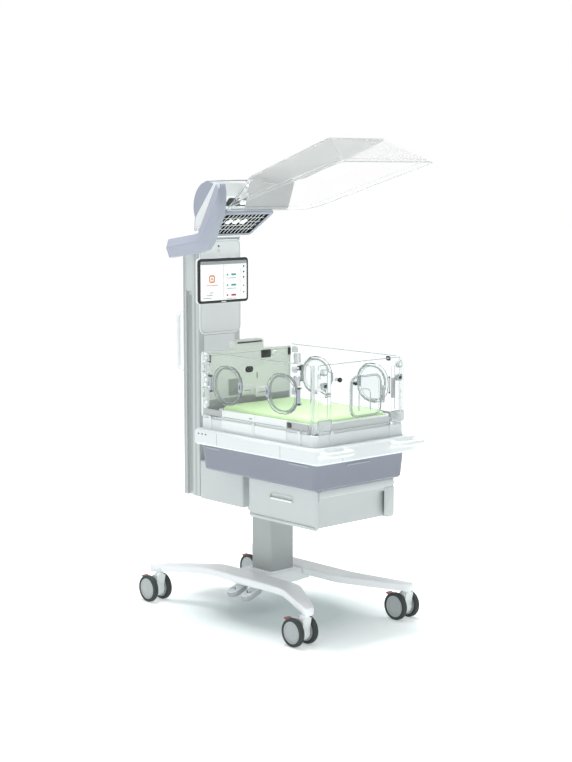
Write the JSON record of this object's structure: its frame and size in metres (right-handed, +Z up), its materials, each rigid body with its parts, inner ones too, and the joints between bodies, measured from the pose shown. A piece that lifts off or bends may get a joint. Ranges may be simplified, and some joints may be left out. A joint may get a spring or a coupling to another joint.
{
  "type": "infant incubator",
  "caption": "Clear-walled newborn cot on a lifting column with four braked casters, and a tower with a monitor and a heater hood with a tilting canopy.",
  "frame": {"origin": "middle of the whole part's footprint, on the floor", "axes": "+Z up, +Y towards the head end with the tower, +X towards the right-hand side seen from the foot end"},
  "size_m": [0.734, 1.2916, 2.1408],
  "materials": {
    "leg_white": "satin powder coat",
    "shell_white": "satin moulded plastic",
    "caster_white": "moulded plastic",
    "tyre": "rubber tread on plastic discs",
    "brake_red": "moulded plastic",
    "dark_metal": "black paint",
    "pedal_lavender": "moulded plastic",
    "column_grey": "painted steel",
    "rail_grey": "painted extrusion",
    "tub_lavender": "textured plastic",
    "drawer_grey": "moulded plastic",
    "arm_lavender": "satin painted cover",
    "plate_grey": "moulded plastic",
    "screen_black": "glossy display bezel",
    "grille_black": "heat-proof black",
    "reflector": "polished reflector",
    "lamp_white": "frosted diffuser",
    "clear": "clear acrylic",
    "door_clear": "clear acrylic with a grey edge",
    "knob_black": "moulded plastic",
    "mattress_green": "pale green wipe-clean cover"
  },
  "bodies": {
    "base": {"base_leg_left": "leg_white", "base_leg_right": "leg_white", "base_crossbeam": "leg_white", "pedal_bracket": "dark_metal", "column_outer": "column_grey"},
    "chassis": {"column_inner": "rail_grey", "rear_housing": "shell_white", "tower_rail_left": "rail_grey", "tower_rail_right": "rail_grey", "tower_front_cover": "shell_white", "tower_rear_cover": "shell_white", "tower_upper_panel": "shell_white", "tower_cap": "rail_grey", "push_handle_left": "rail_grey", "push_handle_right": "rail_grey", "monitor_screen": "screen_black", "monitor_housing": "shell_white", "drawer_frame": "drawer_grey", "bed_tub": "tub_lavender", "platform_frame": "shell_white", "foot_handle_left": "rail_grey", "foot_handle_right": "rail_grey", "head_console": "shell_white", "tilt_support": "drawer_grey"},
    "pedal_raise": {"pedal_raise": "pedal_lavender"},
    "pedal_lower": {"pedal_lower": "pedal_lavender"},
    "drawer": {"drawer": "drawer_grey"},
    "wall_left": {"wall_left": "clear"},
    "wall_right": {"wall_right": "clear"},
    "wall_foot": {"wall_foot": "clear"},
    "foot_hatch": {"foot_hatch": "door_clear"},
    "foot_wall_knob": {"foot_wall_knob": "knob_black"},
    "tray": {"mattress_tray": "shell_white", "mattress": "mattress_green"},
    "hood": {"hood_carriage": "drawer_grey", "hood_arm": "arm_lavender", "head_housing": "shell_white", "head_rear_cap": "arm_lavender", "heater_frame": "arm_lavender", "heater_grille": "grille_black", "heater_reflector": "reflector", "work_lamp": "lamp_white"},
    "canopy": {"canopy_shell": "clear", "canopy_yoke": "plate_grey"},
    "port_door_front_left": {"port_door_front_left": "door_clear"},
    "port_door_rear_left": {"port_door_rear_left": "door_clear"},
    "port_door_front_right": {"port_door_front_right": "door_clear"},
    "port_door_rear_right": {"port_door_rear_right": "door_clear"},
    "caster_front_left": {"caster_fork_front_left": "caster_white"},
    "wheels_front_left": {"caster_wheels_front_left": "tyre"},
    "brake_front_left": {"caster_brake_front_left": "brake_red"},
    "caster_front_right": {"caster_fork_front_right": "caster_white"},
    "wheels_front_right": {"caster_wheels_front_right": "tyre"},
    "brake_front_right": {"caster_brake_front_right": "brake_red"},
    "caster_rear_left": {"caster_fork_rear_left": "caster_white"},
    "wheels_rear_left": {"caster_wheels_rear_left": "tyre"},
    "brake_rear_left": {"caster_brake_rear_left": "brake_red"},
    "caster_rear_right": {"caster_fork_rear_right": "caster_white"},
    "wheels_rear_right": {"caster_wheels_rear_right": "tyre"},
    "brake_rear_right": {"caster_brake_rear_right": "brake_red"}
  },
  "joints": [
    {"name": "column_lift", "type": "slide", "parent": "base", "child": "chassis", "axis": [0, 0, 1], "range_m": [0, 0.2]},
    {"name": "hood_lift", "type": "slide", "parent": "chassis", "child": "hood", "axis": [0, 0, 1], "range_m": [-0.44, 0]},
    {"name": "canopy_tilt", "type": "hinge", "parent": "hood", "child": "canopy", "pos_m": [0, 0.16629, 1.93], "axis": [-1, 0, 0], "range_deg": [-15.5, 0]},
    {"name": "drawer_slide", "type": "slide", "parent": "chassis", "child": "drawer", "axis": [-1, 0, 0], "range_m": [0, 0.3]},
    {"name": "wall_left_drop", "type": "hinge", "parent": "chassis", "child": "wall_left", "pos_m": [-0.2745, -0.10121, 0.908], "axis": [0, -1, 0], "range_deg": [0, 90]},
    {"name": "wall_right_drop", "type": "hinge", "parent": "chassis", "child": "wall_right", "pos_m": [0.2745, -0.10121, 0.908], "axis": [0, 1, 0], "range_deg": [0, 90]},
    {"name": "wall_foot_drop", "type": "hinge", "parent": "chassis", "child": "wall_foot", "pos_m": [0, -0.49321, 0.908], "axis": [1, 0, 0], "range_deg": [0, 90]},
    {"name": "port_front_left_swing", "type": "hinge", "parent": "wall_left", "child": "port_door_front_left", "pos_m": [-0.2793, -0.39571, 1.062], "axis": [0, 0, 1], "range_deg": [0, 100]},
    {"name": "port_rear_left_swing", "type": "hinge", "parent": "wall_left", "child": "port_door_rear_left", "pos_m": [-0.2793, 0.18329, 1.062], "axis": [0, 0, -1], "range_deg": [0, 100]},
    {"name": "port_front_right_swing", "type": "hinge", "parent": "wall_right", "child": "port_door_front_right", "pos_m": [0.2793, -0.39571, 1.062], "axis": [0, 0, -1], "range_deg": [0, 100]},
    {"name": "port_rear_right_swing", "type": "hinge", "parent": "wall_right", "child": "port_door_rear_right", "pos_m": [0.2793, 0.18329, 1.062], "axis": [0, 0, 1], "range_deg": [0, 100]},
    {"name": "foot_hatch_swing", "type": "hinge", "parent": "wall_foot", "child": "foot_hatch", "pos_m": [0.126, -0.49801, 1.0465], "axis": [0, 0, 1], "range_deg": [0, 88]},
    {"name": "foot_knob_turn", "type": "hinge", "parent": "wall_foot", "child": "foot_wall_knob", "pos_m": [-0.141, -0.48671, 1.13], "axis": [0, -1, 0], "range_deg": [0, 90]},
    {"name": "mattress_tilt", "type": "hinge", "parent": "chassis", "child": "tray", "pos_m": [0, -0.12171, 0.86], "axis": [1, 0, 0], "range_deg": [-10, 10]},
    {"name": "pedal_raise_press", "type": "hinge", "parent": "base", "child": "pedal_raise", "pos_m": [-0.062, 0.15629, 0.112], "axis": [0, -1, 0], "range_deg": [0, 10], "stiffness_Nm_per_rad": 8, "springref_deg": -11.46},
    {"name": "pedal_lower_press", "type": "hinge", "parent": "base", "child": "pedal_lower", "pos_m": [-0.062, 0.06029, 0.112], "axis": [0, -1, 0], "range_deg": [0, 10], "stiffness_Nm_per_rad": 8, "springref_deg": -11.46},
    {"name": "swivel_front_left", "type": "hinge", "parent": "base", "child": "caster_front_left", "pos_m": [-0.314, -0.47171, 0.1377], "axis": [0, 0, 1], "continuous": true},
    {"name": "roll_front_left", "type": "hinge", "parent": "caster_front_left", "child": "wheels_front_left", "pos_m": [-0.314, -0.44171, 0.0625], "axis": [1, 0, 0], "continuous": true},
    {"name": "brake_front_left_press", "type": "hinge", "parent": "caster_front_left", "child": "brake_front_left", "pos_m": [-0.314, -0.40184, 0.09365], "axis": [-1, 0, 0], "range_deg": [0, 15]},
    {"name": "swivel_front_right", "type": "hinge", "parent": "base", "child": "caster_front_right", "pos_m": [0.314, -0.47171, 0.1377], "axis": [0, 0, 1], "continuous": true},
    {"name": "roll_front_right", "type": "hinge", "parent": "caster_front_right", "child": "wheels_front_right", "pos_m": [0.314, -0.44171, 0.0625], "axis": [1, 0, 0], "continuous": true},
    {"name": "brake_front_right_press", "type": "hinge", "parent": "caster_front_right", "child": "brake_front_right", "pos_m": [0.314, -0.40184, 0.09365], "axis": [-1, 0, 0], "range_deg": [0, 15]},
    {"name": "swivel_rear_left", "type": "hinge", "parent": "base", "child": "caster_rear_left", "pos_m": [-0.314, 0.52829, 0.1377], "axis": [0, 0, 1], "continuous": true},
    {"name": "roll_rear_left", "type": "hinge", "parent": "caster_rear_left", "child": "wheels_rear_left", "pos_m": [-0.314, 0.55829, 0.0625], "axis": [1, 0, 0], "continuous": true},
    {"name": "brake_rear_left_press", "type": "hinge", "parent": "caster_rear_left", "child": "brake_rear_left", "pos_m": [-0.314, 0.59816, 0.09365], "axis": [-1, 0, 0], "range_deg": [0, 15]},
    {"name": "swivel_rear_right", "type": "hinge", "parent": "base", "child": "caster_rear_right", "pos_m": [0.314, 0.52829, 0.1377], "axis": [0, 0, 1], "continuous": true},
    {"name": "roll_rear_right", "type": "hinge", "parent": "caster_rear_right", "child": "wheels_rear_right", "pos_m": [0.314, 0.55829, 0.0625], "axis": [1, 0, 0], "continuous": true},
    {"name": "brake_rear_right_press", "type": "hinge", "parent": "caster_rear_right", "child": "brake_rear_right", "pos_m": [0.314, 0.59816, 0.09365], "axis": [-1, 0, 0], "range_deg": [0, 15]}
  ]
}
